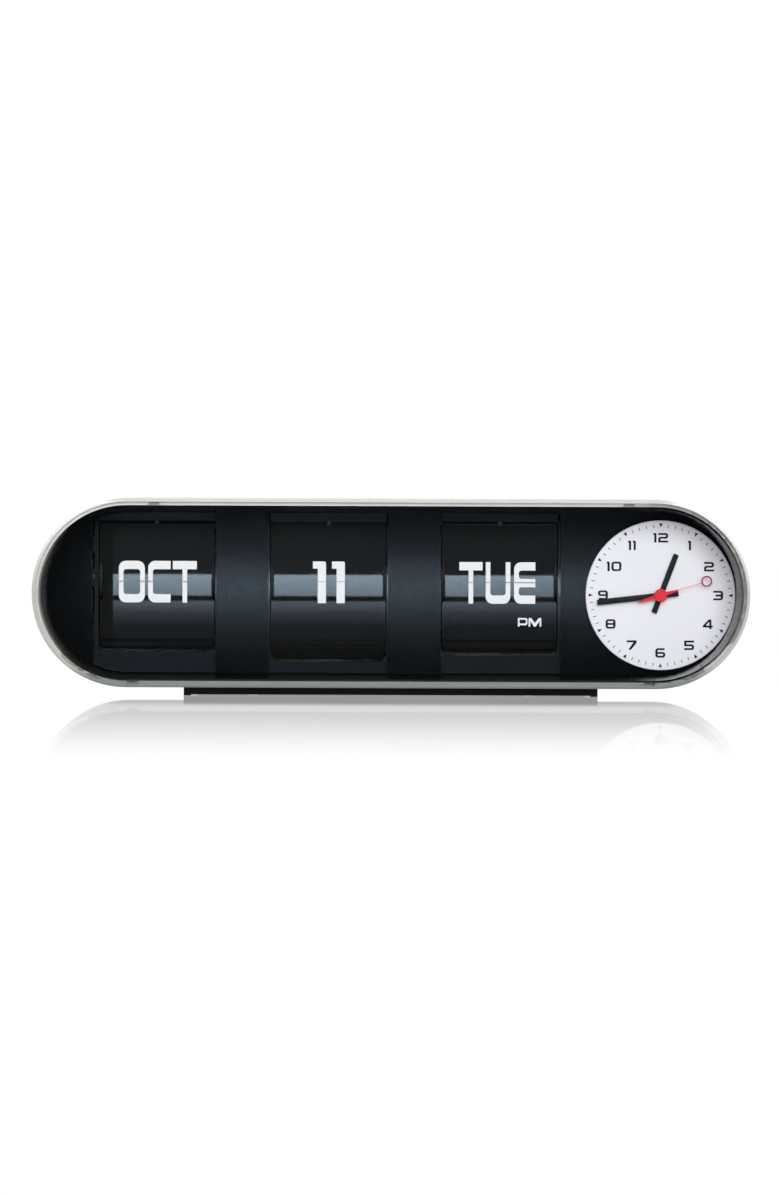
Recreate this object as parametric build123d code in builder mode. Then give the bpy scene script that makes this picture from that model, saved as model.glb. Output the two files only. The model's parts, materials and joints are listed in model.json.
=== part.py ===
from build123d import *
from dataclasses import dataclass
from math import acos, atan, cos, degrees, pi, radians, sin, sqrt, tan
import os

# Flip number clock: a long round-ended desk clock. Behind one clear cover sit three flip modules,
# for the month, the date and the weekday, and a round dial with three hands.
# Millimetres. X points right, the front faces -Y, Z points up.
# The origin is on the ground, under the middle of the clock.

os.makedirs("parts", exist_ok=True)

# ---- case
LENGTH = 360
BODY_HEIGHT = 94.4
CENTRE_Z = 51.6                 # middle of the body above the ground
UNDERSIDE_Z = CENTRE_Z - BODY_HEIGHT / 2
FRONT_Y = -49
REAR_Y = 45
REACH_Y = 49                    # how far the knob stands out behind
WALL = 3.2
REAR_WALL = 3
REAR_ROUND = 4
LIP = 1.35                      # thin edge of the case around the cover
LIP_ROUND = 1.2
INNER_REAR_Y = REAR_Y - REAR_WALL

# ---- cover
COVER_SEAT_Y = FRONT_Y + 2.8
COVER_THICKNESS = 2.5
COVER_GAP = 0.4
COVER_ROUND = 0.6
TAB = (5, 2.5, 1.1)             # width, depth, thickness of a snap tab
TAB_CLEAR = 0.25
TAB_INSET = 2.3                 # middle of a tab below the outside of the case
TOP_TAB_X = 119
BOTTOM_TAB_X = 129.5

# ---- tray behind the cover
RIM_DEPTH = 3
TRAY_EDGE = 1.0
TRAY_SKIN = 1.2
PANEL_FRONT_Y = -19.4
PANEL_THICKNESS = 2
PANEL_BACK_Y = PANEL_FRONT_Y + PANEL_THICKNESS
PANEL_INSET = 6.4               # edge of the flat panel, in from the outside of the case
WINDOW_LEDGE = 0.7

# ---- flip leaves
SPLIT_Z = 57.1                  # line between an upper and a lower leaf
PIN_Y = -17.0                   # depth of the front pins, where a leaf turns over
LEAF_HEIGHT = 29.0
LEAF_WIDTH = 57.7
LEAF_NECK = 54.6                # narrower part between the wheels
LEAF_THICKNESS = 0.16
LEAF_CORNER = 2.6
EAR_WIDTH = 56.0
EAR_HEIGHT = 0.8
LEAN_POWER = 1.6                # how quickly the waiting leaves lean back around the wheels

# ---- flip drums
WHEEL_INNER_X = 27.5
WHEEL_THICKNESS = 1.4
WHEEL_RIM = 1.3
GROOVE_HALF = 0.6
GROOVE_DEPTH = 0.8
WHEEL_HOLE = 1.5                # radius of the six round holes in a wheel
CORE_RADIUS = 4
AXLE_RADIUS = 2
FIT = 0.08                      # radial clearance of every running fit

# ---- module frames
PLATE_INNER_X = 29.4
PLATE_THICKNESS = 2
PLATE_REAR_Y = 30
PLATE_LOW_Z = 11.3
PLATE_HIGH_Z = 91.9
PLATE_ROUND = 9
PLATE_OUTER_X = PLATE_INNER_X + PLATE_THICKNESS
FLANGE = (8, 2, 8)              # out along X, thickness along Y, height along Z
FLANGE_Z = (32, 76)
BAR_LOW_Z = 87.6
BAR_PAD_WIDTH = 52.5
BAR_SHEET = 0.6
BAR_FRONT_Y = PANEL_BACK_Y
BAR_WEB_Y = -16.0
BAR_EAR_Y = -10
LOW_BAR_Y = (-17.0, -12.0)
LOW_BAR_PAD = 0.4
TIP_CLEAR = 1.2
CATCH_WIDTH = 2.2
CATCH_SHEET = 0.4
CATCH_LOW_Z = 85.45
CATCH_BACK_Y = -17.15
CATCH_LIP_Y = -18.0

# ---- setting gears and thumbwheels
GEAR_MODULE = 0.8
PRESSURE_ANGLE = radians(20)
BACKLASH = 0.12
DRUM_TEETH = 24
SETTING_TEETH = 40
GEAR_X = PLATE_OUTER_X + 0.6
GEAR_WIDTH = 3.2
THUMBWHEEL_X = GEAR_X + GEAR_WIDTH
THUMBWHEEL_WIDTH = 4
THUMBWHEEL_REACH_Y = 48.6
KNURLS = 48
KNURL_RADIUS = 0.8
POST_RADIUS = 2
POST_END_X = THUMBWHEEL_X + THUMBWHEEL_WIDTH + 1.2
CLIP = (3.5, 0.6)               # radius and thickness of the clip on a post
SHAFT_DISTANCE = GEAR_MODULE * (DRUM_TEETH + SETTING_TEETH) / 2
SLOT_CLEAR = 0.6

# ---- drum motors
MOTOR_RADIUS = 10
MOTOR_LENGTH = 10
MOTOR_BORE_DEPTH = 3

# ---- dial, hands and movement
DIAL_X = 135.75
DIAL_Z = 50.95
DIAL_RADIUS = 37.7
DIAL_THICKNESS = 1
TUBE_RADIUS = 2.9
TUBE_BORE = 2.2
TUBE_END_Y = -21.4
MOVEMENT_SIZE = 56
MOVEMENT_DEPTH = 16
MOVEMENT_EAR = (5, 2, 10)
MOVEMENT_BACK_Y = PANEL_BACK_Y + MOVEMENT_DEPTH
HOUR_ANGLE = 20.7               # clockwise from twelve
MINUTE_ANGLE = 263.4
SECOND_ANGLE = 72.7
ARBOR_BACK_Y = -16.5
HAND_SHEET = 0.4
HOUR_BLADE = (22.1, 9.4, 2.8, -21.7)        # length, tail, width, depth of the back
HOUR_HUB = (3.2, -21.6, -22.3)              # radius, back, front
MINUTE_BLADE = (32.2, 9.0, 2.9, -22.8)
MINUTE_HUB = (2.9, -22.5, -23.5)
SECOND_BACK_Y = -23.9
SECOND_RING = (24.2, 2.76, 2.07)            # distance out, outer and inner radius
SECOND_CAP = (3.3, -23.7, -24.8, 0.4)       # radius, back, front, edge rounding
SECOND_MIDDLE = 1.15                         # half width at the cap
SECOND_TAIL = (11.7, 0.45)                   # length and half width at the end of the tail
SECOND_POINT = (9, 0.4)                      # the same for the thick part towards the ring
SECOND_ROD = 0.2                            # width of the thin rod out to the ring
KNOB_RISE = 17                  # knob above the middle of the dial
KNOB_RADIUS = 8
KNOB_SHAFT = 1.5
KNOB_GAP = 0.4
KNOB_SOCKET = 4                 # how far the shaft's hole goes into the movement

# ---- battery bay
BAY_X = 133.5
BAY_Z = 37.2
HOLDER = (56, 18, 33.4)
CELL_RADIUS = 7.15
CELL_LENGTH = 49.5
CELL_NUB = (2.7, 1.0)
POCKET = (52.5, 16.5, 15)
CELL_PITCH = 16.2
DOOR_RECESS = (61.4, 2.0, 39.4)
DOOR_THICKNESS = 1.9
DOOR_GAP = 0.2
DOOR_OPENING = (54, 32)
DOOR_NOTCH = (7, 0.9)           # radius and depth of the fingernail notch
DOOR_PIN = 0.5
DOOR_PIN_LENGTH = 2

# ---- base rail and feet
RAIL = (201, 64, 3.9)
RAIL_WALL = 2.5
RAIL_POCKET = 2.2
FOOT = (3.5, 22, UNDERSIDE_Z)
BASE_SCREW_X = 70
BASE_SCREW_Y = 20
BASE_SCREW = (1.48, 6)          # radius and length of a base screw's shank
BASE_SCREW_HEAD = (2.8, 1.6)    # radius and height of its head
SCREW_HOLE = 1.5
RAIL_HOLE = 1.6


@dataclass
class Module:
    """One flip module. Its leaves hang on pins, evenly spaced round a pair of wheels."""
    name: str
    x: float
    leaves: int
    pin_radius: float
    window: tuple       # left and right edge of its window, out from the middle of the leaves

    @property
    def step(self):
        """Angle between two neighbouring pins, in degrees."""
        return 360 / self.leaves

    @property
    def inner(self):
        """Pin to the inner edge of a leaf."""
        return self.pin_radius * sin(radians(self.step)) / 2

    @property
    def outer(self):
        """Pin to the tip of a leaf."""
        return LEAF_HEIGHT - self.inner

    @property
    def wheel_radius(self):
        return self.pin_radius + WHEEL_RIM

    @property
    def axis_y(self):
        return PIN_Y + self.pin_radius

    @property
    def axis_z(self):
        return SPLIT_Z + self.inner

    @property
    def post_y(self):
        """The thumbwheel's post lies straight behind the drum."""
        return self.axis_y + SHAFT_DISTANCE

    @property
    def thumbwheel_radius(self):
        return THUMBWHEEL_REACH_Y - self.post_y

    @property
    def lowest_tip_z(self):
        return self.axis_z - self.pin_radius - self.outer


MODULES = (
    Module("month", -117.9, 12, 10.8, (32.2, 29.8)),
    Module("date", -31.6, 31, 13.0, (30.1, 30.1)),
    Module("weekday", 54.6, 14, 12.45, (29.5, 30.8)),
)


def front_plane(y, x=0, z=0):
    """A plane facing the front at depth y: local x is X, local y is Z."""
    return Plane(origin=(x, y, z), x_dir=(1, 0, 0), z_dir=(0, -1, 0))


def side_plane(x, y=0, z=0):
    """A plane facing +X: local x is Y, local y is Z."""
    return Plane(origin=(x, y, z), x_dir=(0, 1, 0), z_dir=(1, 0, 0))


def case_outline(inset):
    """The round-ended outline of the case, drawn a distance inside it."""
    return SlotOverall(LENGTH - 2 * inset, BODY_HEIGHT - 2 * inset)


def save(builder, name):
    builder.part.label = name
    export_step(builder.part, f"parts/{name}.step")


def chord_half(radius, distance):
    return sqrt(radius ** 2 - distance ** 2)


# ---- case shell: round-ended tube closed at the back
def tab_places():
    """Middle of each snap tab in the cover's plane, measured from the middle of the body."""
    top = BODY_HEIGHT / 2 - TAB_INSET
    return [(-TOP_TAB_X, top), (TOP_TAB_X, top), (-BOTTOM_TAB_X, -top), (BOTTOM_TAB_X, -top)]


DOOR_LOW_Z = BAY_Z - DOOR_RECESS[2] / 2
HINGE_Y = REAR_Y - DOOR_THICKNESS / 2
HINGE_Z = DOOR_LOW_Z + DOOR_GAP + DOOR_THICKNESS / 2
KNOB_Z = DIAL_Z + KNOB_RISE
BASE_SCREWS = [(x, y) for x in (-BASE_SCREW_X, BASE_SCREW_X) for y in (-BASE_SCREW_Y, BASE_SCREW_Y)]

with BuildPart() as case_shell:
    with BuildSketch(front_plane(REAR_Y, z=CENTRE_Z)):
        case_outline(0)
    extrude(amount=REAR_Y - FRONT_Y)
    fillet(case_shell.faces().sort_by(Axis.Y)[-1].edges(), radius=REAR_ROUND)
    fillet(case_shell.faces().sort_by(Axis.Y)[0].edges(), radius=LIP_ROUND)
    with BuildSketch(front_plane(INNER_REAR_Y, z=CENTRE_Z)):
        case_outline(WALL)
    extrude(amount=INNER_REAR_Y - FRONT_Y, mode=Mode.SUBTRACT)
    with BuildSketch(front_plane(COVER_SEAT_Y, z=CENTRE_Z)):
        case_outline(LIP)
    extrude(amount=COVER_SEAT_Y - FRONT_Y, mode=Mode.SUBTRACT)
    # pockets for the cover's snap tabs
    with BuildSketch(front_plane(COVER_SEAT_Y + TAB[1] + TAB_CLEAR, z=CENTRE_Z)):
        with Locations(*tab_places()):
            Rectangle(TAB[0] + 2 * TAB_CLEAR, TAB[2] + 2 * TAB_CLEAR)
    extrude(amount=TAB[1] + TAB_CLEAR, mode=Mode.SUBTRACT)
    # slots that the thumbwheels stand out of
    for m in MODULES:
        slot_half = chord_half(m.thumbwheel_radius, INNER_REAR_Y - m.post_y) + 1
        with BuildSketch(front_plane(REAR_Y, m.x + THUMBWHEEL_X + THUMBWHEEL_WIDTH / 2, m.axis_z)):
            Rectangle(THUMBWHEEL_WIDTH + 2 * SLOT_CLEAR, 2 * slot_half)
        extrude(amount=REAR_WALL, mode=Mode.SUBTRACT)
    # recess and opening of the battery door, and the holes that its pins turn in
    with BuildSketch(front_plane(REAR_Y, BAY_X, BAY_Z)):
        Rectangle(DOOR_RECESS[0], DOOR_RECESS[2])
    extrude(amount=DOOR_RECESS[1], mode=Mode.SUBTRACT)
    with BuildSketch(front_plane(REAR_Y, BAY_X, BAY_Z)):
        Rectangle(*DOOR_OPENING)
    extrude(amount=REAR_WALL, mode=Mode.SUBTRACT)
    pin_span = DOOR_RECESS[0] + 2 * DOOR_PIN_LENGTH
    with BuildSketch(side_plane(BAY_X - pin_span / 2, HINGE_Y, HINGE_Z)):
        Circle(DOOR_PIN + FIT)
    extrude(amount=pin_span, mode=Mode.SUBTRACT)
    # hole for the time-setting shaft
    with BuildSketch(front_plane(REAR_Y, DIAL_X, KNOB_Z)):
        Circle(KNOB_SHAFT + FIT)
    extrude(amount=REAR_WALL, mode=Mode.SUBTRACT)
    # holes for the screws of the base rail
    with BuildSketch(Plane.XY.offset(UNDERSIDE_Z)):
        with Locations(*BASE_SCREWS):
            Circle(SCREW_HOLE)
    extrude(amount=WALL, mode=Mode.SUBTRACT)
save(case_shell, "case_shell")

# ---- front cover: a clear plate inside the lip, held by four snap tabs
with BuildPart() as front_cover:
    with BuildSketch(front_plane(COVER_SEAT_Y, z=CENTRE_Z)):
        case_outline(LIP + COVER_GAP)
    extrude(amount=COVER_THICKNESS)
    fillet(front_cover.faces().sort_by(Axis.Y)[0].edges(), radius=COVER_ROUND)
    with BuildSketch(front_plane(COVER_SEAT_Y + TAB[1], z=CENTRE_Z)):
        with Locations(*tab_places()):
            Rectangle(TAB[0], TAB[2])
    extrude(amount=TAB[1])
save(front_cover, "front_cover")

# ---- display tray: sloping walls down to a flat panel with three windows
slope_depth = PANEL_BACK_Y - COVER_SEAT_Y - RIM_DEPTH
inner_depth = PANEL_FRONT_Y - COVER_SEAT_Y
outer_slope = degrees(atan((PANEL_INSET - TRAY_SKIN - WALL) / slope_depth))
inner_slope = degrees(atan((PANEL_INSET - WALL - TRAY_EDGE) / inner_depth))
FRAME_SCREWS = [(m.x + side * (PLATE_OUTER_X + FLANGE[0] / 2), z)
                for m in MODULES for side in (-1, 1) for z in FLANGE_Z]
MOVEMENT_SCREWS = [(DIAL_X + side * (MOVEMENT_SIZE + MOVEMENT_EAR[0]) / 2, DIAL_Z) for side in (-1, 1)]
SCREW_HEAD = (1.9, 1.2)         # radius and height of a small screw's head
SCREW_SHANK = 0.95
SCREW_BITE = 1.5                # length of thread in the panel

with BuildPart() as display_tray:
    with BuildSketch(front_plane(COVER_SEAT_Y + RIM_DEPTH, z=CENTRE_Z)):
        case_outline(WALL)
    extrude(amount=RIM_DEPTH)
    backwards = Plane(origin=(0, COVER_SEAT_Y + RIM_DEPTH, CENTRE_Z), x_dir=(1, 0, 0), z_dir=(0, 1, 0))
    with BuildSketch(backwards):
        case_outline(WALL)
    extrude(amount=slope_depth, taper=outer_slope)
    with BuildSketch(backwards.offset(-RIM_DEPTH)):
        case_outline(WALL + TRAY_EDGE)
    extrude(amount=inner_depth, taper=inner_slope, mode=Mode.SUBTRACT)
    with BuildSketch(front_plane(PANEL_BACK_Y, z=CENTRE_Z)):
        for m in MODULES:
            left, right = m.window
            with Locations((m.x + (right - left) / 2, 0)):
                Rectangle(left + right, BODY_HEIGHT)
        SlotOverall(LENGTH - 2 * (PANEL_INSET + WINDOW_LEDGE), BODY_HEIGHT - 2 * (PANEL_INSET + WINDOW_LEDGE),
                    mode=Mode.INTERSECT)
    extrude(amount=PANEL_THICKNESS, mode=Mode.SUBTRACT)
    with BuildSketch(front_plane(PANEL_BACK_Y)):
        with Locations((DIAL_X, DIAL_Z)):
            Circle(TUBE_RADIUS + FIT)
    extrude(amount=PANEL_THICKNESS, mode=Mode.SUBTRACT)
    with BuildSketch(front_plane(PANEL_BACK_Y)):
        with Locations(*FRAME_SCREWS, *MOVEMENT_SCREWS):
            Circle(SCREW_SHANK)
    extrude(amount=SCREW_BITE, mode=Mode.SUBTRACT)
save(display_tray, "display_tray")


# ---- flip modules
def place_on_wheel(m, index):
    """Pin position (y, z) of a leaf and how far it leans back from upright, in degrees."""
    angle = index * m.step
    y = m.axis_y - m.pin_radius * cos(radians(angle))
    z = m.axis_z + m.pin_radius * sin(radians(angle))
    lean = 180 * (angle / 180) ** LEAN_POWER if angle < 180 else 180
    return y, z, lean


def leaf(m, index):
    """One notched leaf, hanging on its own pin."""
    y, z, lean = place_on_wheel(m, index)
    across = (0, -cos(radians(lean)), sin(radians(lean)))
    notch = chord_half(m.wheel_radius, m.pin_radius) + 0.3
    with BuildPart() as card:
        with BuildSketch(Plane(origin=(m.x, y, z), x_dir=(1, 0, 0), z_dir=across)):
            with Locations((0, (notch + m.outer) / 2)):
                RectangleRounded(LEAF_WIDTH, m.outer - notch, LEAF_CORNER)
            with Locations((0, (m.outer / 2 - m.inner) / 2)):
                Rectangle(LEAF_NECK, m.outer / 2 + m.inner)
            Rectangle(EAR_WIDTH, EAR_HEIGHT)
        extrude(amount=LEAF_THICKNESS / 2, both=True)
    return card.part


def leaf_node(m, name, indices):
    cards = [leaf(m, index) for index in indices]
    with BuildPart() as leaves:
        add(cards)
    save(leaves, f"{m.name}_{name}")


def drum(m):
    """Two wheels with a ring groove for the pins, on one stepped axle."""
    with BuildPart() as wheels:
        for side in (-1, 1):
            inner_face = side_plane(m.x + side * WHEEL_INNER_X, m.axis_y, m.axis_z)
            with BuildSketch(inner_face):
                Circle(m.wheel_radius)
                Circle(AXLE_RADIUS, mode=Mode.SUBTRACT)
                with PolarLocations(m.pin_radius / 2 + 0.8, 6):
                    Circle(WHEEL_HOLE, mode=Mode.SUBTRACT)
            extrude(amount=side * WHEEL_THICKNESS)
            with BuildSketch(inner_face):
                Circle(m.pin_radius + GROOVE_HALF)
                Circle(m.pin_radius - GROOVE_HALF, mode=Mode.SUBTRACT)
            extrude(amount=side * GROOVE_DEPTH, mode=Mode.SUBTRACT)
    save(wheels, f"{m.name}_drum_wheels")
    with BuildPart() as axle:
        with BuildSketch(side_plane(m.x - WHEEL_INNER_X, m.axis_y, m.axis_z)):
            Circle(CORE_RADIUS)
        extrude(amount=2 * WHEEL_INNER_X)
        left_end = PLATE_OUTER_X + MOTOR_BORE_DEPTH - 0.2
        with BuildSketch(side_plane(m.x - left_end, m.axis_y, m.axis_z)):
            Circle(AXLE_RADIUS)
        extrude(amount=left_end + GEAR_X + GEAR_WIDTH)
    save(axle, f"{m.name}_drum_axle")


def gear_points(teeth, phase):
    """Outline of an involute spur gear with one tooth at the phase angle, in degrees."""
    pitch = GEAR_MODULE * teeth / 2
    base = pitch * cos(PRESSURE_ANGLE)
    root, tip = pitch - 1.25 * GEAR_MODULE, pitch + 0.95 * GEAR_MODULE
    half_tooth = pi / (2 * teeth) - BACKLASH / (2 * pitch)
    start = max(base, root)
    flank = []
    for radius in [start + (tip - start) * i / 4 for i in range(5)]:
        roll = acos(min(1, base / radius))
        involute = tan(roll) - roll
        flank.append((radius, half_tooth + tan(PRESSURE_ANGLE) - PRESSURE_ANGLE - involute))
    if root < base:
        flank.insert(0, (root, flank[0][1]))
    half_outline = [(radius, -angle) for radius, angle in flank] + flank[::-1]
    points = []
    for i in range(teeth):
        middle = radians(phase) + 2 * pi * i / teeth
        points += [(radius * cos(middle + a), radius * sin(middle + a)) for radius, a in half_outline]
    return points


def spur_gear(m, name, teeth, phase, y, bore):
    with BuildPart() as gear:
        with BuildSketch(side_plane(m.x + GEAR_X, y, m.axis_z)):
            with BuildLine():
                Polyline(*gear_points(teeth, phase), close=True)
            make_face()
            Circle(bore, mode=Mode.SUBTRACT)
        extrude(amount=GEAR_WIDTH)
    save(gear, f"{m.name}_{name}")


def thumbwheel(m):
    """Knurled wheel that turns on a post beside the setting gear."""
    radius = m.thumbwheel_radius
    with BuildPart() as wheel:
        with BuildSketch(side_plane(m.x + THUMBWHEEL_X, m.post_y, m.axis_z)):
            Circle(radius)
            with PolarLocations(radius + KNURL_RADIUS / 3, KNURLS):
                Circle(KNURL_RADIUS, mode=Mode.SUBTRACT)
            with PolarLocations(radius / 2 + 1, 6):
                Circle(radius / 6, mode=Mode.SUBTRACT)
            Circle(POST_RADIUS + FIT, mode=Mode.SUBTRACT)
        extrude(amount=THUMBWHEEL_WIDTH)
    save(wheel, f"{m.name}_thumbwheel")


def frame_plate(m, side):
    """Side plate of a module; the right one also carries the thumbwheel's post."""
    with BuildPart() as plate:
        inner_face = side_plane(m.x + side * PLATE_INNER_X)
        middle = ((PANEL_BACK_Y + PLATE_REAR_Y) / 2, (PLATE_LOW_Z + PLATE_HIGH_Z) / 2)
        with BuildSketch(inner_face) as outline:
            with Locations(middle):
                Rectangle(PLATE_REAR_Y - PANEL_BACK_Y, PLATE_HIGH_Z - PLATE_LOW_Z)
            fillet(outline.vertices().sort_by(Axis.Y)[-2:], radius=PLATE_ROUND)
            with Locations((m.axis_y, m.axis_z)):
                Circle(AXLE_RADIUS + FIT, mode=Mode.SUBTRACT)
        extrude(amount=side * PLATE_THICKNESS)
        for z in FLANGE_Z:
            with BuildSketch(front_plane(PANEL_BACK_Y, m.x + side * (PLATE_OUTER_X + FLANGE[0] / 2), z)):
                Rectangle(FLANGE[0], FLANGE[2])
                Circle(SCREW_SHANK + 0.1, mode=Mode.SUBTRACT)
            extrude(amount=-FLANGE[1])
        if side > 0:
            with BuildSketch(side_plane(m.x + PLATE_OUTER_X, m.post_y, m.axis_z)):
                Circle(POST_RADIUS)
            extrude(amount=POST_END_X - PLATE_OUTER_X)
    save(plate, f"{m.name}_frame_{'left' if side < 0 else 'right'}")


def bars(m):
    """Top strap and bottom bar that tie the two side plates together."""
    with BuildPart() as top_bar:
        bar_z = (BAR_LOW_Z + PLATE_HIGH_Z) / 2
        bar_height = PLATE_HIGH_Z - BAR_LOW_Z
        with BuildSketch(front_plane(BAR_WEB_Y, m.x, bar_z)):
            Rectangle(BAR_PAD_WIDTH, bar_height)
        extrude(amount=BAR_WEB_Y - BAR_FRONT_Y)
        with BuildSketch(front_plane(BAR_WEB_Y, m.x, bar_z)):
            Rectangle(2 * PLATE_INNER_X, bar_height)
        extrude(amount=BAR_SHEET)
        with BuildSketch(front_plane(BAR_EAR_Y, m.x, bar_z)):
            with Locations((BAR_SHEET / 2 - PLATE_INNER_X, 0), (PLATE_INNER_X - BAR_SHEET / 2, 0)):
                Rectangle(BAR_SHEET, bar_height)
        extrude(amount=BAR_EAR_Y - BAR_WEB_Y)
    save(top_bar, f"{m.name}_top_bar")
    with BuildPart() as bottom_bar:
        bar_high_z = m.lowest_tip_z - TIP_CLEAR
        bar_z = (PLATE_LOW_Z + bar_high_z) / 2
        with BuildSketch(front_plane(LOW_BAR_Y[1], m.x, bar_z)):
            Rectangle(2 * PLATE_INNER_X, bar_high_z - PLATE_LOW_Z)
        extrude(amount=LOW_BAR_Y[1] - LOW_BAR_Y[0])
        with BuildSketch(front_plane(LOW_BAR_Y[0], m.x, bar_z)):
            Rectangle(BAR_PAD_WIDTH, bar_high_z - PLATE_LOW_Z)
        extrude(amount=LOW_BAR_PAD)
    save(bottom_bar, f"{m.name}_bottom_bar")


def motor(m):
    """Flat can motor on the left plate, driving the end of the drum's axle."""
    with BuildPart() as can:
        with BuildSketch(side_plane(m.x - PLATE_OUTER_X, m.axis_y, m.axis_z)):
            Circle(MOTOR_RADIUS)
        extrude(amount=-MOTOR_LENGTH)
        chamfer(can.faces().sort_by(Axis.X)[0].edges(), length=0.8)
        with BuildSketch(side_plane(m.x - PLATE_OUTER_X, m.axis_y, m.axis_z)):
            Circle(AXLE_RADIUS + FIT)
        extrude(amount=-MOTOR_BORE_DEPTH, mode=Mode.SUBTRACT)
    save(can, f"{m.name}_motor")


for m in MODULES:
    half_turn = int(180 / m.step)
    leaf_node(m, "flip_leaf", [0])
    leaf_node(m, "waiting_leaves", range(1, half_turn + 1))
    leaf_node(m, "fallen_leaves", range(half_turn + 1, m.leaves))
    drum(m)
    spur_gear(m, "drum_gear", DRUM_TEETH, 0, m.axis_y, AXLE_RADIUS)
    spur_gear(m, "setting_gear", SETTING_TEETH, 180 + 180 / SETTING_TEETH, m.post_y, POST_RADIUS + FIT)
    thumbwheel(m)
    frame_plate(m, -1)
    frame_plate(m, 1)
    bars(m)
    motor(m)

# ---- spring catches that hold each front leaf upright by its tip
with BuildPart() as leaf_catches:
    for m in MODULES:
        with BuildSketch(front_plane(CATCH_BACK_Y, m.x, (CATCH_LOW_Z + BAR_LOW_Z) / 2)):
            Rectangle(CATCH_WIDTH, BAR_LOW_Z - CATCH_LOW_Z)
        extrude(amount=CATCH_SHEET)
        with BuildSketch(front_plane(CATCH_BACK_Y, m.x, CATCH_LOW_Z + CATCH_SHEET / 2)):
            Rectangle(CATCH_WIDTH, CATCH_SHEET)
        extrude(amount=CATCH_BACK_Y - CATCH_LIP_Y)
save(leaf_catches, "leaf_catches")

# ---- push-on clips that keep the thumbwheels on their posts
with BuildPart() as post_clips:
    for m in MODULES:
        with BuildSketch(side_plane(m.x + POST_END_X - 0.2 - CLIP[1], m.post_y, m.axis_z)):
            Circle(CLIP[0])
            Circle(POST_RADIUS, mode=Mode.SUBTRACT)
        extrude(amount=CLIP[1])
save(post_clips, "post_clips")

# ---- small screws that hold the module frames and the movement to the panel
with BuildPart() as frame_screws:
    head_y = PANEL_BACK_Y + FLANGE[1]
    with BuildSketch(front_plane(head_y + SCREW_HEAD[1])):
        with Locations(*FRAME_SCREWS, *MOVEMENT_SCREWS):
            Circle(SCREW_HEAD[0])
    extrude(amount=SCREW_HEAD[1])
    with BuildSketch(front_plane(head_y)):
        with Locations(*FRAME_SCREWS, *MOVEMENT_SCREWS):
            Circle(SCREW_SHANK)
    extrude(amount=FLANGE[1] + SCREW_BITE)
save(frame_screws, "frame_screws")

# ---- dial
DIAL_FRONT_Y = PANEL_FRONT_Y - DIAL_THICKNESS
with BuildPart() as dial:
    with BuildSketch(front_plane(PANEL_FRONT_Y, DIAL_X, DIAL_Z)):
        Circle(DIAL_RADIUS)
        Circle(TUBE_RADIUS + FIT, mode=Mode.SUBTRACT)
    extrude(amount=DIAL_THICKNESS)
    chamfer(dial.edges().group_by(Axis.Y)[0].sort_by(SortBy.RADIUS)[-1], length=0.3)
save(dial, "dial")

# ---- quartz movement with its fixed centre tube
with BuildPart() as movement:
    with BuildSketch(front_plane(MOVEMENT_BACK_Y, DIAL_X, DIAL_Z)):
        RectangleRounded(MOVEMENT_SIZE, MOVEMENT_SIZE, 4)
    extrude(amount=MOVEMENT_DEPTH)
    chamfer(movement.faces().sort_by(Axis.Y)[-1].edges(), length=1.2)
    with BuildSketch(front_plane(PANEL_BACK_Y, DIAL_X, DIAL_Z)):
        Circle(TUBE_RADIUS)
    extrude(amount=PANEL_BACK_Y - TUBE_END_Y)
    with BuildSketch(front_plane(ARBOR_BACK_Y + 1, DIAL_X, DIAL_Z)):
        Circle(TUBE_BORE)
    extrude(amount=ARBOR_BACK_Y + 1 - TUBE_END_Y, mode=Mode.SUBTRACT)
    with BuildSketch(front_plane(PANEL_BACK_Y + MOVEMENT_EAR[1], DIAL_X, DIAL_Z)):
        Rectangle(MOVEMENT_SIZE + 2 * MOVEMENT_EAR[0], MOVEMENT_EAR[2])
        Rectangle(MOVEMENT_SIZE, MOVEMENT_EAR[2], mode=Mode.SUBTRACT)
        ear_x = (MOVEMENT_SIZE + MOVEMENT_EAR[0]) / 2
        with Locations((-ear_x, 0), (ear_x, 0)):
            Circle(SCREW_SHANK + 0.1, mode=Mode.SUBTRACT)
    extrude(amount=MOVEMENT_EAR[1])
    with BuildSketch(front_plane(MOVEMENT_BACK_Y, DIAL_X, KNOB_Z)):
        Circle(KNOB_SHAFT + FIT)
    extrude(amount=KNOB_SOCKET, mode=Mode.SUBTRACT)
save(movement, "movement")


# ---- hands: each has a hub and a pipe or pin that turns inside the one outside it
def hand_plane(y, angle):
    """A plane facing the front on the dial's axis: local y points along the hand."""
    turn = radians(angle)
    return Plane(origin=(DIAL_X, y, DIAL_Z), x_dir=(cos(turn), 0, -sin(turn)), z_dir=(0, -1, 0))


def baton_hand(name, angle, blade, hub, pipe):
    """Straight hand with a slightly narrower tip, a hub and a pipe."""
    length, tail, width, blade_y = blade
    hub_radius, hub_back, hub_front = hub
    outer, bore = pipe
    shoulder = 0.8 * length
    tip_half = 0.46 * width
    with BuildPart() as hand:
        with BuildSketch(hand_plane(blade_y, angle)):
            with BuildLine():
                Polyline((-width / 2, -tail), (width / 2, -tail), (width / 2, shoulder), (tip_half, length),
                         (-tip_half, length), (-width / 2, shoulder), close=True)
            make_face()
        extrude(amount=HAND_SHEET)
        with BuildSketch(front_plane(hub_back, DIAL_X, DIAL_Z)):
            Circle(hub_radius)
        extrude(amount=hub_back - hub_front)
        with BuildSketch(front_plane(ARBOR_BACK_Y, DIAL_X, DIAL_Z)):
            Circle(outer)
        extrude(amount=ARBOR_BACK_Y - hub_back)
        with BuildSketch(front_plane(ARBOR_BACK_Y, DIAL_X, DIAL_Z)):
            Circle(bore)
        extrude(amount=ARBOR_BACK_Y - hub_front, mode=Mode.SUBTRACT)
    save(hand, name)


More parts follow.
